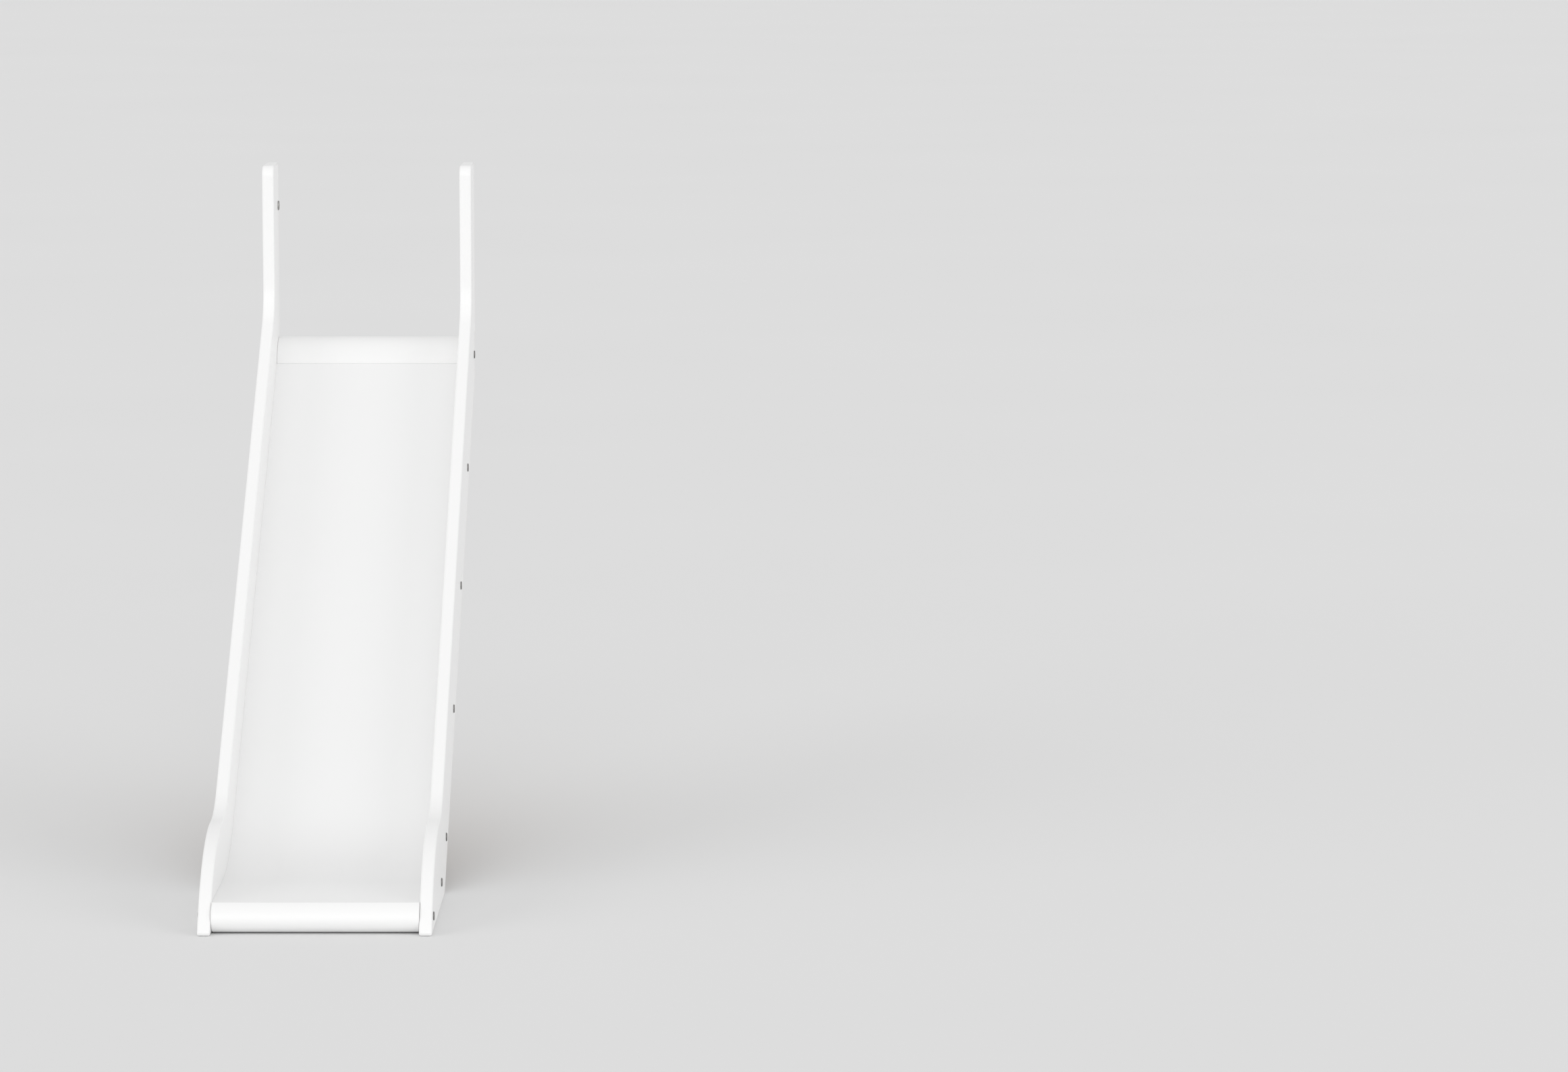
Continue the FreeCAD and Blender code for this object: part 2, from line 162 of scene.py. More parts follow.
def cut(piece, tool_work):
    """Take the tool's shape out of the piece."""
    tool = new_piece("tool", tool_work)
    boolean = piece.modifiers.new("cut", "BOOLEAN")
    boolean.operation = "DIFFERENCE"
    boolean.solver = "EXACT"
    boolean.object = tool
    shape = piece.evaluated_get(bpy.context.evaluated_depsgraph_get())
    piece.data = bpy.data.meshes.new_from_object(shape)
    piece.modifiers.clear()
    bpy.data.objects.remove(tool)


def soften_shading(piece, angle=math.radians(32)):
    """Smooth shading over rounds, flat faces kept flat."""
    for face in piece.data.polygons:
        face.use_smooth = True
    piece.data.set_sharp_from_angle(angle=angle)
    weighted = piece.modifiers.new("flat_faces", "WEIGHTED_NORMAL")
    weighted.keep_sharp = True


def stand_for(piece, node, material):
    """Hang the piece on the slide in place of its plain part."""
    piece.data.materials.clear()
    piece.data.materials.append(material)
    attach(piece, "root")
    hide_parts(node)


DECK_THICK = 0.005
DECK_LEVEL = 0.061                      # sliding face, square above the panels' underside
RUNOUT_TOP = 0.052
DECK_BEND = 0.360
GROOVE_PLAY = 0.0002
GROOVE_DEPTH = 0.006
GROOVE_STOP = 0.008                     # grooves end this far behind the foot bar's joint
JOINT_GAP = 0.0004
FOOT_JOINT = TIP + 0.031
ENTRY_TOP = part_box("entry_nosing")[1].z
ENTRY_ROUND = 0.060
ENTRY_END = math.radians(14)            # where the entry nosing's round stops, above level
ENTRY_LIP = Vector((RAIL_FACE - ENTRY_ROUND * math.cos(ENTRY_END),
                    ENTRY_TOP - ENTRY_ROUND * (1 - math.sin(ENTRY_END))))


def deck_section(grow, upper_reach, lower_end, end_round=0.0):
    """Section of the deck, or of its groove where it grows by the play all round."""
    top, bottom = DECK_LEVEL + grow, DECK_LEVEL - DECK_THICK - grow
    level, under = RUNOUT_TOP + grow, RUNOUT_TOP - DECK_THICK - grow
    y = ENTRY_LIP.x + (upper_reach - JOINT_GAP) * COS
    z = slope_height(y, DECK_LEVEL)
    return [
        (y - grow * SIN, z + grow * COS, end_round),
        (slope_place(level, top), level, DECK_BEND - grow),
        (lower_end, level, end_round),
        (lower_end, under, end_round),
        (slope_place(under, bottom), under, DECK_BEND + DECK_THICK + grow),
        (y + (DECK_THICK + grow) * SIN, z - (DECK_THICK + grow) * COS, end_round),
    ]


BOLT_PITCH = 0.320
BOLT_BELOW_DECK = 0.015
FIRST_BOLT = RAIL_FACE - 0.015


def bolt_line(distance):
    """(y, z, tilt) at a distance along the line of bolts that follows the deck."""
    start = Vector((FIRST_BOLT, slope_height(FIRST_BOLT, DECK_LEVEL - BOLT_BELOW_DECK)))
    radius = DECK_BEND + BOLT_BELOW_DECK
    bend = Vector((slope_place(RUNOUT_TOP, DECK_LEVEL) - DECK_BEND * math.tan(INCLINE / 2),
                   RUNOUT_TOP + DECK_BEND))
    straight = (start.x - bend.x - radius * SIN) / COS
    if distance <= straight:
        return start.x - distance * COS, start.y - distance * SIN, INCLINE
    tilt = INCLINE - (distance - straight) / radius
    return bend.x + radius * math.sin(tilt), bend.y - radius * math.cos(tilt), tilt


ENTRY_STATION = (*bolt_line(0)[:2], 0.0)
BATTEN_STATIONS = [bolt_line(BOLT_PITCH * step) for step in (1, 2, 3, 4, 4.5)]
FOOT_STATION = (FOOT_JOINT + 0.013, 0.027, 0.0)
STATIONS = [ENTRY_STATION, *BATTEN_STATIONS, FOOT_STATION]
DOWEL_BESIDE_BOLT = 0.013


def dowel_place(station):
    y, z, tilt = station
    if station == ENTRY_STATION:
        return y - 0.020, z - 0.020
    if station == FOOT_STATION:
        return y + 0.018, z - 0.003
    return y + DOWEL_BESIDE_BOLT * math.cos(tilt), z + DOWEL_BESIDE_BOLT * math.sin(tilt)


BOLT_BORE = 0.0034
DOWEL_BORE = 0.004
DOWEL_IN_PANEL = 0.011
POST_NUT_PLACE = Vector((-HALF, REAR - 0.017, 1.119))
POST_NUT_BORE = 0.0046
OVERRUN = 0.001

panel_corners = [
    (REAR, HEIGHT, 0.0008),
    (HEAD_FRONT, HEIGHT, 0.020),
    (HEAD_FRONT, slope_height(HEAD_FRONT, PANEL_WIDTH), 0.080),
    (slope_place(FOOT_TOP, PANEL_WIDTH), FOOT_TOP, 0.180),
    (SHARP_TIP + FOOT_TOP / math.tan(NOSE_SLOPE), FOOT_TOP, 0.295),
    (SHARP_TIP, 0, TIP_ROUND),
    (HEEL, 0, 0.010),
    (RAIL_FACE, slope_height(RAIL_FACE, 0), 0.010),
    (RAIL_FACE, HOOK_HEIGHT, 0.004),
    (REAR, HOOK_HEIGHT, 0.0042),
]


class Socket:
    """Output of a shader node. Arithmetic on sockets adds Math nodes."""

    def __init__(self, link):
        self.link = link

    def node(self, kind, settings=None, inputs=None):
        """New node beside this one: its settings first, then its sockets' values or links."""
        tree = self.link.id_data
        made = tree.nodes.new("ShaderNode" + kind)
        for name, value in (settings or {}).items():
            if name == "stops":
                ramp = made.color_ramp.elements
                ramp[0].position, ramp[1].position = value[0][0], value[-1][0]
                for place, _ in value[1:-1]:
                    ramp.new(place)
                for stop, (_, colour) in zip(ramp, value):
                    stop.color = (*colour, 1)
            else:
                setattr(made, name, value)
        for name, value in (inputs or {}).items():
            if isinstance(value, Socket):
                tree.links.new(value.link, made.inputs[name])
            else:
                made.inputs[name].default_value = value
        return Socket(made.outputs[0]) if made.outputs else made

    def __getitem__(self, name):
        return Socket(self.link.node.outputs[name])

    def maths(self, operation, *values):
        return self.node("Math", {"operation": operation}, dict(enumerate(values)))

    def __add__(self, other):
        return self.maths("ADD", self, other)

    def __sub__(self, other):
        return self.maths("SUBTRACT", self, other)

    def __rsub__(self, other):
        return self.maths("SUBTRACT", other, self)

    def __mul__(self, other):
        return self.maths("MULTIPLY", self, other)

    def __truediv__(self, other):
        return self.maths("DIVIDE", self, other)

    def __pow__(self, other):
        return self.maths("POWER", self, other)

    __radd__ = __add__
    __rmul__ = __mul__

    def stretched(self, *factors):
        """Vector scaled along each axis."""
        return self.node("VectorMath", {"operation": "MULTIPLY"}, {0: self, 1: factors})

    def noise(self, scale, detail=3.0, rough=0.5):
        """Noise from 0 to 1 over this place."""
        return self.node("TexNoise", {}, {"Vector": self, "Scale": scale, "Detail": detail, "Roughness": rough})

    def between(self, low, high):
        """0 below low, 1 above high, smooth between."""
        return self.node("MapRange", {"interpolation_type": "SMOOTHSTEP"},
                         {"Value": self, "From Min": low, "From Max": high})

    def tint(self, low, high):
        """Colour mixed from low to high by this value."""
        return self.node("Mix", {"data_type": "RGBA"}, {0: self, 6: low, 7: high})[2]

    def relief(self, height, distance, strength=1.0, normal=None):
        """Bump of a height field that is this many metres deep."""
        inputs = {"Height": height, "Distance": distance, "Strength": strength}
        if normal:
            inputs["Normal"] = normal
        return self.node("Bump", {}, inputs)

    def surface(self, inputs):
        shader = self.node("BsdfPrincipled", {}, inputs)
        self.node("OutputMaterial", {}, {"Surface": shader})


def new_material(name):
    """Empty material and the place in it: the point on the piece, in metres."""
    material = bpy.data.materials.new(name)
    material.use_nodes = True
    material.node_tree.nodes.clear()
    return material, Socket(material.node_tree.nodes.new("ShaderNodeTexCoord").outputs["Object"])


def colour(red, green, blue):
    return (red, green, blue, 1)


def satin_paint(name, base, shade):
    """Sprayed satin paint: a fine orange peel, a little thirstier on the routed edges."""
    material, place = new_material(name)
    facing = place["Normal"].node("SeparateXYZ", {}, {0: place["Normal"]})
    edge = 1 - place.maths("ABSOLUTE", facing["X"]).between(0.90, 0.995)
    cloud = place.noise(3.0, 4.0)
    peel = place.noise(420.0, 2.0, 0.4)
    fibre = place.noise(1500.0, 3.0, 0.6)
    handled = place.noise(14.0, 5.0, 0.65).between(0.52, 0.70)
    tone = (cloud * 0.8 + peel * 0.2).tint(shade, base)
    rough = 0.36 + 0.05 * cloud + 0.05 * edge - 0.05 * handled
    relief = place.relief(peel, 0.00022, 0.5)
    relief = place.relief(fibre * edge, 0.00006, 0.5, relief)
    place.surface({"Base Color": tone, "Roughness": rough, "Normal": relief,
                   "Specular IOR Level": 0.45, "Coat Weight": 0.12, "Coat Roughness": 0.22})
    return material


panel_paint = satin_paint("panel_paint", colour(0.888, 0.888, 0.886), colour(0.868, 0.868, 0.865))

for hand, side in (("left", -1), ("right", 1)):
    inner, outer = side * HALF, side * (HALF + PANEL_THICK)
    outward = Vector((side, 0, 0))
    work = bmesh.new()
    add_slab(work, panel_corners, min(inner, outer), max(inner, outer), RIM_ROUND)
    panel = new_piece(f"painted_side_panel_{hand}", work)
    tool = bmesh.new()
    groove = sorted((inner - side * OVERRUN, inner + side * GROOVE_DEPTH))
    add_slab(tool, deck_section(GROOVE_PLAY, OVERRUN, FOOT_JOINT + GROOVE_STOP), *groove)
    for station in STATIONS:
        start = Vector((inner - side * OVERRUN, *station[:2]))
        add_rod(tool, start, outward, BOLT_BORE, PANEL_THICK + 2 * OVERRUN)
        start = Vector((inner - side * OVERRUN, *dowel_place(station)))
        add_rod(tool, start, outward, DOWEL_BORE, OVERRUN + DOWEL_IN_PANEL)
    if side < 0:
        add_rod(tool, POST_NUT_PLACE - outward * OVERRUN, outward, POST_NUT_BORE, PANEL_THICK + 2 * OVERRUN)
    cut(panel, tool)
    soften_shading(panel)
    stand_for(panel, f"side_panel_{hand}", panel_paint)


# Slide deck. One 5 mm sheet, bent level at the foot and held in the panels' grooves, its tongues
# notched where the grooves stop, with smooth white laminate on the sliding face and bare
# screen-backed hardboard underneath.

DECK_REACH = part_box("slide_deck")[1].x
NOTCH_PLAY = 0.0004


def white_laminate():
    material, place = new_material("white_laminate")
    cloud = place.noise(2.2, 3.0)
    pearl = place.noise(1100.0, 2.0, 0.5)
    rubbed = place.stretched(55.0, 1.6, 1.6).noise(1.0, 6.0, 0.7).between(0.50, 0.74)
    hairline = place.stretched(900.0, 5.0, 5.0).noise(1.0, 2.0, 0.5).between(0.66, 0.74)
    tone = cloud.tint(colour(0.876, 0.876, 0.874), colour(0.890, 0.891, 0.890))
    rough = 0.30 + 0.05 * cloud + 0.07 * rubbed + 0.06 * hairline
    relief = place.relief(pearl, 0.00005, 0.4)
    relief = place.relief(1 - hairline, 0.00001, 0.3, relief)
    place.surface({"Base Color": tone, "Roughness": rough, "Normal": relief,
                   "Specular IOR Level": 0.5, "Coat Weight": 0.2, "Coat Roughness": 0.15})
    return material


def bare_hardboard():
    material, place = new_material("bare_hardboard")
    axes = place.node("SeparateXYZ", {}, {0: place})
    fibre = place.stretched(1.0, 0.6, 0.6).noise(650.0, 6.0, 0.75)
    blotch = place.noise(9.0, 5.0, 0.6)
    screen = place.maths("SINE", axes["X"] * 3100.0) * place.maths("SINE", axes["Y"] * 2600.0)
    fleck = place.noise(240.0, 2.0, 0.5).between(0.62, 0.72)
    tone = (fibre * 0.6 + blotch * 0.4).tint(colour(0.145, 0.085, 0.046), colour(0.315, 0.205, 0.120))
    tone = (fleck * 0.5).tint(tone, colour(0.42, 0.30, 0.19))
    rough = 0.74 + 0.14 * fibre
    relief = place.relief(screen * 0.5 + fibre, 0.00025, 0.7)
    place.surface({"Base Color": tone, "Roughness": rough, "Normal": relief, "Specular IOR Level": 0.3})
    return material


work = bmesh.new()
section = deck_section(0, 0, FOOT_JOINT + JOINT_GAP, 0.0006)
add_slab(work, section, -DECK_REACH, DECK_REACH, 0.0003, 2)
deck = new_piece("laminated_slide_deck", work)
for side in (-1, 1):
    tool = bmesh.new()
    notch_low = Vector((side * (HALF + DECK_REACH + OVERRUN) / 2, FOOT_JOINT, RUNOUT_TOP))
    notch_size = (DECK_REACH + OVERRUN - HALF, 2 * (GROOVE_STOP + NOTCH_PLAY), 4 * DECK_THICK, 1)
    bmesh.ops.create_cube(tool, size=1, matrix=Matrix.Translation(notch_low) @ Matrix.Diagonal(notch_size))
    cut(deck, tool)
soften_shading(deck)
stand_for(deck, "slide_deck", white_laminate())
deck.data.materials.append(bare_hardboard())
for face in deck.data.polygons:
    if face.normal.z < -0.5:
        face.material_index = 1


# Entry nosing. A solid quarter-round block against the bed rail, rebated for the end of the deck,
# its ends eased by hand before painting so that a fine line shows against each panel.

NOSING_END_GAP = 0.00005
ENTRY_RIM_ROUND = 0.0012
REBATE_PLAY = 0.0003
NUT_INSET = 0.020
NUT_LENGTH = 0.014
NUT_BORE = 0.0051
BOLT_BORE_DEPTH = 0.034
DOWEL_BORE_DEPTH = 0.0195
INSERT_HALF_SPACING = 0.110
INSERT_LEVEL = 0.835
INSERT_RADIUS = 0.006
INSERT_LENGTH = 0.015

nosing_paint = satin_paint("nosing_paint", colour(0.888, 0.888, 0.886), colour(0.868, 0.868, 0.865))


def add_end_bores(tool, station):
    """Bolt, barrel nut and dowel holes in both ends of a batten or nosing."""
    y, z, tilt = station
    down = Vector((0, math.sin(tilt), -math.cos(tilt)))
    for side in (-1, 1):
        inward = Vector((-side, 0, 0))
        end = side * (HALF + OVERRUN)
        add_rod(tool, (end, y, z), inward, BOLT_BORE, BOLT_BORE_DEPTH + OVERRUN)
        nut = Vector((side * (HALF - NUT_INSET), y, z)) - down * (NUT_LENGTH / 2 + 0.0002)
        add_rod(tool, nut, down, NUT_BORE, 0.060)
        add_rod(tool, (end, *dowel_place(station)), inward, DOWEL_BORE, DOWEL_BORE_DEPTH + OVERRUN)


def entry_section():
    """Rear face, quarter round, then the rebate under the deck and the foot of the block."""
    lip_drop = DECK_THICK + REBATE_PLAY
    face = slope_height(ENTRY_LIP.x, DECK_LEVEL)
    wall = Vector((ENTRY_LIP.x + lip_drop * SIN, face - lip_drop * COS))
    shelf = wall - Vector((COS, SIN)) * 0.022
    under = shelf + Vector((SIN, -COS)) * 0.013
    corners = [(*under, 0.0015), (RAIL_FACE, under.y, 0.0015), (RAIL_FACE, ENTRY_TOP, 0.0012)]
    round_end = math.asin(1 - (ENTRY_TOP - face) / ENTRY_ROUND)
    for k in range(1, 29):
        turn = math.pi / 2 + (round_end - math.pi / 2) * k / 28
        corners.append((RAIL_FACE - ENTRY_ROUND * math.cos(turn),
                        ENTRY_TOP - ENTRY_ROUND * (1 - math.sin(turn)), 0.0005 * (k == 28)))
    return corners + [(*wall, 0), (*shelf, 0.0008)]


work = bmesh.new()
end = HALF - NOSING_END_GAP
add_slab(work, entry_section(), -end, end, ENTRY_RIM_ROUND)
entry = new_piece("painted_entry_nosing", work)
tool = bmesh.new()
add_end_bores(tool, ENTRY_STATION)
for x in (-INSERT_HALF_SPACING, INSERT_HALF_SPACING):
    add_rod(tool, (x, RAIL_FACE + OVERRUN, INSERT_LEVEL), (0, -1, 0), INSERT_RADIUS, INSERT_LENGTH + OVERRUN)
cut(entry, tool)
soften_shading(entry)
stand_for(entry, "entry_nosing", nosing_paint)


# Foot nosing. A bullnosed bar that ends the run-out just clear of the floor, rebated like the
# entry block and finished in the same paint.

FOOT_BAR_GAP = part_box("foot_nosing")[0].z
FOOT_BAR_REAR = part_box("foot_nosing")[1].y
CROWN_ROUND = 0.060
CROWN_START, CROWN_END = math.radians(60), math.radians(42)
BAR_RIM_ROUND = 0.003


def foot_section():
    """Flat crown, full bullnose, underside and rear, before the rebate is cut."""
    def out(angle):
        return Vector((-math.cos(angle), math.sin(angle)))

    joint = Vector((FOOT_JOINT, RUNOUT_TOP))
    crown = joint - out(CROWN_START) * CROWN_ROUND
    shoulder = crown + out(CROWN_END) * CROWN_ROUND
    nose_round = (shoulder.y - FOOT_BAR_GAP) / (1 + math.sin(CROWN_END))
    nose = shoulder - out(CROWN_END) * nose_round
    corners = [(*joint, 0)]
    for k in range(1, 8):
        turn = CROWN_START + (CROWN_END - CROWN_START) * k / 7
        corners.append((*(crown + out(turn) * CROWN_ROUND), 0))
    for k in range(1, 33):
        turn = CROWN_END - (math.pi / 2 + CROWN_END) * k / 32
        corners.append((*(nose + out(turn) * nose_round), 0))
    return corners + [(FOOT_BAR_REAR, FOOT_BAR_GAP, 0.0015), (FOOT_BAR_REAR, RUNOUT_TOP, 0)]


work = bmesh.new()
add_slab(work, foot_section(), -end, end, BAR_RIM_ROUND)
bar = new_piece("painted_foot_nosing", work)
tool = bmesh.new()
add_end_bores(tool, FOOT_STATION)
shelf, above, behind = RUNOUT_TOP - DECK_THICK - REBATE_PLAY, RUNOUT_TOP + OVERRUN, FOOT_BAR_REAR + OVERRUN
rebate = [(FOOT_JOINT, shelf, 0), (behind, shelf, 0), (behind, above, 0), (FOOT_JOINT, above, 0)]
add_slab(tool, rebate, -HALF, HALF)
cut(bar, tool)
soften_shading(bar)
stand_for(bar, "foot_nosing", nosing_paint)


# Battens. Planed pine laths glued behind the deck, one at every bolt, with sawn ends and the
# barrel nuts let in from below.

BATTEN_WIDTH = 0.040
BATTEN_THICK = 0.020
BATTEN_TOP = BOLT_BELOW_DECK - DECK_THICK


def planed_pine():
    material, place = new_material("planed_pine")
    seed = place.node("ObjectInfo")["Location"].stretched(0.0, 3.7, 5.3)
    spot = place.node("VectorMath", {"operation": "ADD"}, {0: place, 1: seed})
    axes = place.node("SeparateXYZ", {}, {0: place})
    bend = spot.stretched(2.2, 9.0, 9.0).noise(1.0, 3.0) - 0.5
    across = axes["Y"] + 0.012 + 0.012 * bend
    deep = axes["Z"] + 0.045 + 0.020 * bend
    ring = (across * across + deep * deep) ** 0.5
    wobble = spot.stretched(6.0, 60.0, 60.0).noise(1.0, 2.0)
    bands = place.maths("FRACT", ring * 340.0 + 1.2 * wobble)
    late = bands.between(0.35, 0.95) - bands.between(0.95, 1.0)
    pores = spot.stretched(30.0, 900.0, 900.0).noise(1.0, 4.0, 0.6)
    tone = late.tint(colour(0.66, 0.47, 0.27), colour(0.45, 0.26, 0.115))
    tone = (pores.between(0.45, 0.75) * 0.35).tint(tone, colour(0.37, 0.22, 0.11))
    cloud = spot.stretched(1.0, 8.0, 8.0).noise(6.0, 3.0)
    tone = (cloud * 0.35).tint(tone, colour(0.74, 0.57, 0.37))
    rough = 0.58 + 0.14 * pores - 0.08 * late
    relief = place.relief(pores + 0.6 * late, 0.00012, 0.7)
    place.surface({"Base Color": tone, "Roughness": rough, "Normal": relief, "Specular IOR Level": 0.35})
    return material


pine = planed_pine()
for number, station in enumerate(BATTEN_STATIONS, 1):
    y, z, tilt = station
    node = f"cross_batten_{number}" if number < 5 else "runout_batten"
    edge = BATTEN_WIDTH / 2
    low = BATTEN_TOP - BATTEN_THICK
    work = bmesh.new()
    section = [(-edge, low, 0.002), (edge, low, 0.002), (edge, BATTEN_TOP, 0.002), (-edge, BATTEN_TOP, 0.002)]
    add_slab(work, section, -HALF + 0.0001, HALF - 0.0001, 0.0005, 2)
    place = Matrix.Translation((0, y, z)) @ Matrix.Rotation(tilt, 4, "X")
    bmesh.ops.transform(work, matrix=place, verts=work.verts)
    batten = new_piece(f"pine_{node}", work)
    tool = bmesh.new()
    add_end_bores(tool, station)
    cut(batten, tool)
    batten.data.transform(place.inverted())
    batten.matrix_world = place
    soften_shading(batten)
    stand_for(batten, node, pine)


# Dowels. Fluted beech pins, one beside every bolt, so that no batten can turn on its bolt.

DOWEL_RADIUS = 0.00395
DOWEL_LENGTH = 0.030
DOWEL_CHAMFER = 0.001
FLUTES = 20


def bare_beech():
    material, place = new_material("bare_beech")
    streak = place.stretched(40.0, 700.0, 700.0).noise(1.0, 4.0, 0.6)
    fleck = place.stretched(350.0, 1400.0, 1400.0).noise(1.0, 2.0, 0.5).between(0.62, 0.72)
    tone = streak.tint(colour(0.46, 0.285, 0.165), colour(0.64, 0.44, 0.285))
    tone = (fleck * 0.6).tint(tone, colour(0.33, 0.18, 0.09))
    relief = place.relief(streak, 0.00008, 0.6)
    place.surface({"Base Color": tone, "Roughness": 0.55 + 0.15 * streak, "Normal": relief})
    return material


def add_dowel(work, start, axis):
    """Round pin with straight flutes between its chamfered ends."""
    sides = FLUTES * 6
    rows = [(0, 1 - DOWEL_CHAMFER / DOWEL_RADIUS, 0), (DOWEL_CHAMFER, 1, 1),
            (DOWEL_LENGTH - DOWEL_CHAMFER, 1, 1), (DOWEL_LENGTH, 1 - DOWEL_CHAMFER / DOWEL_RADIUS, 0)]
    turn = Vector((0, 0, 1)).rotation_difference(Vector(axis)).to_matrix()
    rings = []
    for along, share, fluted in rows:
        ring = []
        for k in range(sides):
            groove = 0.05 * fluted * (k % 6 in (0, 1))
            radius = DOWEL_RADIUS * (share - groove)
            spoke = 2 * math.pi * k / sides
            point = Vector((radius * math.cos(spoke), radius * math.sin(spoke), along))
            ring.append(work.verts.new(Vector(start) + turn @ point))
        rings.append(ring)
    for one, two in zip(rings, rings[1:]):
        for k in range(sides):
            work.faces.new((one[k - 1], one[k], two[k], two[k - 1]))
    work.faces.new(rings[0])
    work.faces.new(rings[-1])


beech = bare_beech()
for hand, side in (("left", -1), ("right", 1)):
    work = bmesh.new()
    for station in STATIONS:
        start = (side * (HALF + DOWEL_IN_PANEL), *dowel_place(station))
        add_dowel(work, start, (-side, 0, 0))
    dowels = new_piece(f"fluted_dowels_{hand}", work)
    soften_shading(dowels, math.radians(20))
    stand_for(dowels, f"dowels_{hand}", beech)


# Barrel nuts. Zinc-plated cross nuts in the battens' ends, each with a screwdriver slot in its
# lower end that shows from below.

NUT_RADIUS = 0.005
NUT_EDGE = 0.0005
NUT_THREAD = 0.00305
SLOT_WIDTH = 0.0012
SLOT_DEPTH = 0.0016


def plated_metal(name, base, dark, rough, grain):
    """Plated and tumbled metal with a cloudy film and fine turning marks."""
    material, place = new_material(name)
    film = place.noise(180.0, 4.0, 0.6)
    speck = place.noise(1600.0, 2.0, 0.5)
    tone = (film * 0.7 + speck * 0.3).tint(dark, base)
    relief = place.relief(speck, 0.00003, grain)
    place.surface({"Base Color": tone, "Metallic": 1.0, "Roughness": rough - 0.06 + 0.16 * film,
                   "Normal": relief})
    return material


def barrel_nut():
    """One nut about its own middle, axis along Z and slot at its lower end."""
    work = bmesh.new()
    half = NUT_LENGTH / 2
    add_lathe(work, [(-half, NUT_RADIUS - NUT_EDGE), (-half + NUT_EDGE, NUT_RADIUS),
                     (half - NUT_EDGE, NUT_RADIUS), (half, NUT_RADIUS - NUT_EDGE)], (0, 0, 0), (0, 0, 1))
    nut = new_piece("nut", work)
    tool = bmesh.new()
    add_rod(tool, (-NUT_LENGTH, 0, 0), (1, 0, 0), NUT_THREAD, 2 * NUT_LENGTH, 32)
    cut(nut, tool)
    tool = bmesh.new()
    bmesh.ops.create_cube(tool, size=1, matrix=Matrix.Translation((0, 0, -half))
                          @ Matrix.Diagonal((4 * NUT_RADIUS, SLOT_WIDTH, 2 * SLOT_DEPTH, 1)))
    cut(nut, tool)
    mesh = nut.data
    bpy.data.objects.remove(nut)
    return mesh


zinc = plated_metal("bright_zinc", colour(0.70, 0.71, 0.72), colour(0.52, 0.53, 0.55), 0.30, 0.3)
nut_mesh = barrel_nut()
for hand, side in (("left", -1), ("right", 1)):
    work = bmesh.new()
    for y, z, tilt in STATIONS:
        added = bmesh.new()
        added.from_mesh(nut_mesh)
        place = Matrix.Translation((side * (HALF - NUT_INSET), y, z)) @ Matrix.Rotation(tilt, 4, "X")
        added.transform(place)
        moved = bpy.data.meshes.new("moved")
        added.to_mesh(moved)
        added.free()
        work.from_mesh(moved)
        bpy.data.meshes.remove(moved)
    nuts = new_piece(f"slotted_barrel_nuts_{hand}", work)
    soften_shading(nuts)
    stand_for(nuts, f"barrel_nuts_{hand}", zinc)


# Connector bolts. Low-headed M6 furniture bolts with a hexagon socket, plated in dull grey nickel,
# put in from the outer faces of the panels.

HEAD_RADIUS = 0.0075
HEAD_THICK = 0.0020
HEAD_EDGE = 0.0013
NECK = 0.0018                           # short neck under the head, deeper than the socket
SOCKET_RADIUS = 0.0023
SOCKET_DEPTH = 0.003
SHANK = 0.003
BOLT_LENGTH = 0.050
THREAD_PITCH = 0.001
THREAD_LENGTH = 0.034
HEXAGON = [math.pi / 3 * k for k in range(6)]


def add_threaded_shank(work, x_start, x_end, radius, sides=18):
    """Shank along X, plain first and then with a running thread to its end."""
    sign = math.copysign(1, x_end - x_start)
    length = abs(x_end - x_start)
    rows = round(THREAD_LENGTH / THREAD_PITCH * 4)
    marks = [0.0] + [length - THREAD_LENGTH * (1 - k / rows) for k in range(rows + 1)]
    rings = []
    for along in marks:
        fade = min(1.0, (along - (length - THREAD_LENGTH)) / THREAD_PITCH, (length - along) / THREAD_PITCH)
        ring = []
        for k in range(sides):
            spoke = 2 * math.pi * k / sides
            wave = math.cos(2 * math.pi * (along / THREAD_PITCH) + spoke)
            r = radius - 0.0003 * (1 - wave) * max(0.0, fade)
            ring.append(work.verts.new((x_start + sign * along, r * math.cos(spoke), r * math.sin(spoke))))
        rings.append(ring)
    for one, two in zip(rings, rings[1:]):
        for k in range(sides):
            work.faces.new((one[k - 1], one[k], two[k], two[k - 1]))
    work.faces.new(rings[0])
    work.faces.new(rings[-1])


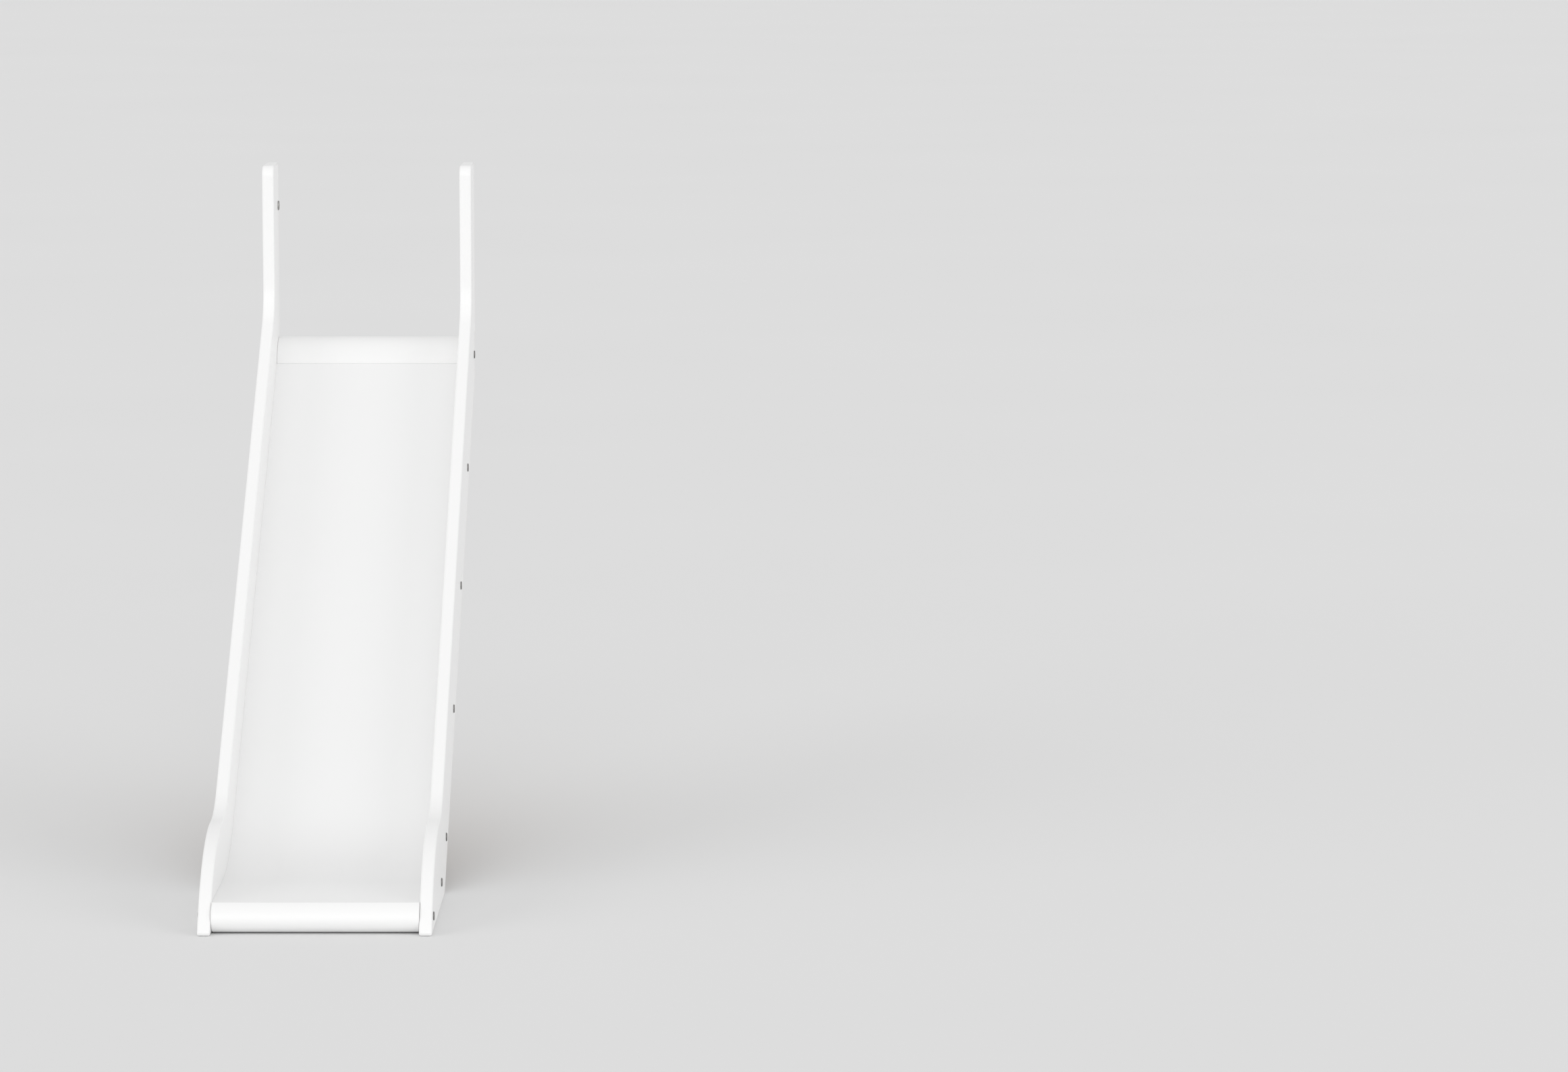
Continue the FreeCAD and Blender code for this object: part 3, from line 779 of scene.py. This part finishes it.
def add_head(work, radius, thick, edge, socket, turn, neck):
    """Domed-edge head along +X from 0 on a neck of its shank, with a chamfered hexagon socket."""
    sides = 48
    profile = [(-NECK, neck), (0, neck), (0, radius - 0.0003), (0.0003, radius)]
    for k in range(6):
        a = math.pi / 2 * k / 5
        profile.append((thick - edge + edge * math.sin(a), radius - edge * (1 - math.cos(a))))
    rings = []
    for along, r in profile:
        rings.append([(along, r, 2 * math.pi * k / sides) for k in range(sides)])

    def hexagon(along, r):
        ring = []
        for k in range(sides):
            spoke = 2 * math.pi * k / sides
            part = (spoke - turn) % (math.pi / 3) - math.pi / 6
            ring.append((along, r * math.cos(math.pi / 6) / math.cos(part), spoke))
        return ring

    rings.append(hexagon(thick, socket + 0.0003))
    rings.append(hexagon(thick - 0.0003, socket))
    rings.append(hexagon(thick - SOCKET_DEPTH, socket))
    rings.append([(thick - SOCKET_DEPTH - 0.0004, 0.0002, 2 * math.pi * k / sides) for k in range(sides)])
    rows = [[work.verts.new((x, r * math.cos(a), r * math.sin(a))) for x, r, a in ring] for ring in rings]
    for one, two in zip(rows, rows[1:]):
        for k in range(sides):
            work.faces.new((one[k - 1], one[k], two[k], two[k - 1]))
    work.faces.new(rows[-1])
    work.faces.new(rows[0])


def connector_bolt(turn):
    """One bolt with its seat at X 0 and its head towards +X."""
    work = bmesh.new()
    add_head(work, HEAD_RADIUS, HEAD_THICK, HEAD_EDGE, SOCKET_RADIUS, turn, SHANK)
    add_threaded_shank(work, 0.0001 - NECK, -BOLT_LENGTH, SHANK - 0.00002)
    mesh = bpy.data.meshes.new("bolt")
    work.to_mesh(mesh)
    work.free()
    return mesh


nickel = plated_metal("dull_nickel", colour(0.270, 0.266, 0.258), colour(0.175, 0.172, 0.166), 0.36, 0.4)
for hand, side in (("left", -1), ("right", 1)):
    work = bmesh.new()
    for number, (y, z, _) in enumerate(STATIONS):
        bolt = connector_bolt(0.31 * number)
        flip = Matrix.Rotation(0 if side > 0 else math.pi, 4, "Z")
        bolt.transform(Matrix.Translation((side * (HALF + PANEL_THICK), y, z)) @ flip)
        work.from_mesh(bolt)
        bpy.data.meshes.remove(bolt)
    bolts = new_piece(f"nickel_connector_bolts_{hand}", work)
    soften_shading(bolts)
    stand_for(bolts, f"connector_bolts_{hand}", nickel)


# Post sleeve nut. A larger, brighter nickel head on the left panel's inner face; its sleeve takes
# a bolt that comes sideways through the bed's end post.

POST_HEAD_RADIUS = 0.009
POST_HEAD_THICK = 0.0026
POST_HEAD_EDGE = 0.0017
SLEEVE_RADIUS = 0.0045
SLEEVE_LENGTH = 0.019
SLEEVE_THREAD = 0.0025
SLEEVE_BORE = 0.016


def add_tube(work, x_start, x_end, radius, bore, bore_depth, sides=36):
    """Blind sleeve along X with a ridged bore that opens at its far end."""
    sign = math.copysign(1, x_end - x_start)
    length = abs(x_end - x_start)
    profile = [(0.0, 0.0002), (0.0, radius), (length - 0.0003, radius), (length, radius - 0.0003),
               (length, bore + 0.0004)]
    ridges = round((bore_depth - 0.0006) / 0.0005)
    for k in range(ridges + 1):
        profile.append((length - 0.0006 - k * 0.0005, bore + 0.00025 * (k % 2)))
    profile.append((length - bore_depth, 0.0002))
    rings = []
    for along, r in profile:
        ring = []
        for k in range(sides):
            a = 2 * math.pi * k / sides
            ring.append(work.verts.new((x_start + sign * along, r * math.cos(a), r * math.sin(a))))
        rings.append(ring)
    for one, two in zip(rings, rings[1:]):
        for k in range(sides):
            work.faces.new((one[k - 1], one[k], two[k], two[k - 1]))
    work.faces.new(rings[0])
    work.faces.new(rings[-1])


bright = plated_metal("bright_nickel", colour(0.440, 0.434, 0.420), colour(0.330, 0.325, 0.315), 0.34, 0.3)
work = bmesh.new()
add_head(work, POST_HEAD_RADIUS, POST_HEAD_THICK, POST_HEAD_EDGE, 0.0026, 0.4, SLEEVE_RADIUS)
add_tube(work, 0.0001 - NECK, -SLEEVE_LENGTH, SLEEVE_RADIUS - 0.00002, SLEEVE_THREAD, SLEEVE_BORE - 0.0002)
bmesh.ops.translate(work, vec=POST_NUT_PLACE, verts=work.verts)
post_nut = new_piece("nickel_post_sleeve_nut", work)
soften_shading(post_nut)
stand_for(post_nut, "post_sleeve_nut", bright)


# Rail inserts. Two turned brass inserts in the entry block's rear face for the bolts that come
# through the bed rail.

brass = plated_metal("turned_brass", colour(0.78, 0.60, 0.30), colour(0.62, 0.45, 0.20), 0.32, 0.3)
work = bmesh.new()
for x in (-INSERT_HALF_SPACING, INSERT_HALF_SPACING):
    ridged = [(0.0, SLEEVE_THREAD + 0.0004), (0.0, INSERT_RADIUS - 0.0004), (0.0004, INSERT_RADIUS - 0.00005)]
    for k in range(1, 13):
        ridged.append((0.0004 + k * 0.0011, INSERT_RADIUS - 0.00005 - 0.0006 * (k % 2)))
    ridged += [(INSERT_LENGTH, INSERT_RADIUS - 0.0008), (INSERT_LENGTH, SLEEVE_THREAD)]
    for k in range(1, 29):
        ridged.append((INSERT_LENGTH - k * 0.0005, SLEEVE_THREAD + 0.00025 * (k % 2)))
    rings = []
    for along, radius in ridged:
        ring = []
        for k in range(36):
            a = 2 * math.pi * k / 36
            spot = (x + radius * math.cos(a), RAIL_FACE - along, INSERT_LEVEL + radius * math.sin(a))
            ring.append(work.verts.new(spot))
        rings.append(ring)
    for one, two in zip(rings, rings[1:] + rings[:1]):
        for k in range(36):
            work.faces.new((one[k - 1], one[k], two[k], two[k - 1]))
inserts = new_piece("brass_rail_inserts", work)
soften_shading(inserts)
stand_for(inserts, "rail_inserts", brass)


# Studio. A pale floor, a bright even dome and three wide soft lights from the front.

FLOOR_RADIUS = 120.0


def studio_floor():
    material, place = new_material("studio_floor")
    cloud = place.noise(0.6, 3.0)
    tone = cloud.tint(colour(0.78, 0.78, 0.78), colour(0.80, 0.80, 0.80))
    place.surface({"Base Color": tone, "Roughness": 0.9, "Specular IOR Level": 0.1})
    return material


work = bmesh.new()
bmesh.ops.create_circle(work, cap_ends=True, segments=64, radius=FLOOR_RADIUS)
floor = new_piece("studio_floor", work)
floor.data.materials.append(studio_floor())

world = bpy.data.worlds.new("studio_dome")
bpy.context.scene.world = world
world.use_nodes = True
world.node_tree.nodes["Background"].inputs["Color"].default_value = colour(1, 1, 1)
world.node_tree.nodes["Background"].inputs["Strength"].default_value = 0.74

SOFT_LIGHTS = (("front_left", -60, 14, 0.80), ("front", 0, 14, 0.54), ("front_right", 60, 14, 0.82))

for name, azimuth, elevation, power in SOFT_LIGHTS:
    lamp = bpy.data.lights.new(name, "SUN")
    lamp.energy = power
    lamp.angle = math.radians(50)
    light = bpy.data.objects.new(name, lamp)
    bpy.context.scene.collection.objects.link(light)
    turn, lift = math.radians(azimuth), math.radians(elevation)
    source = Vector((math.sin(turn) * math.cos(lift), -math.cos(turn) * math.cos(lift), math.sin(lift)))
    light.rotation_mode = "QUATERNION"
    light.rotation_quaternion = source.to_track_quat("Z", "Y")

bpy.context.scene.view_settings.view_transform = "Standard"

lens = bpy.data.cameras.new("studio_camera")
lens.sensor_width = 36.0
lens.lens = 136.25
lens.clip_end = 500.0
camera = bpy.data.objects.new("studio_camera", lens)
bpy.context.scene.collection.objects.link(camera)
camera.location = (0.787, -10.532, 1.933)
camera.rotation_euler = (math.radians(90 - 7.32), 0, 0)
bpy.context.scene.camera = camera
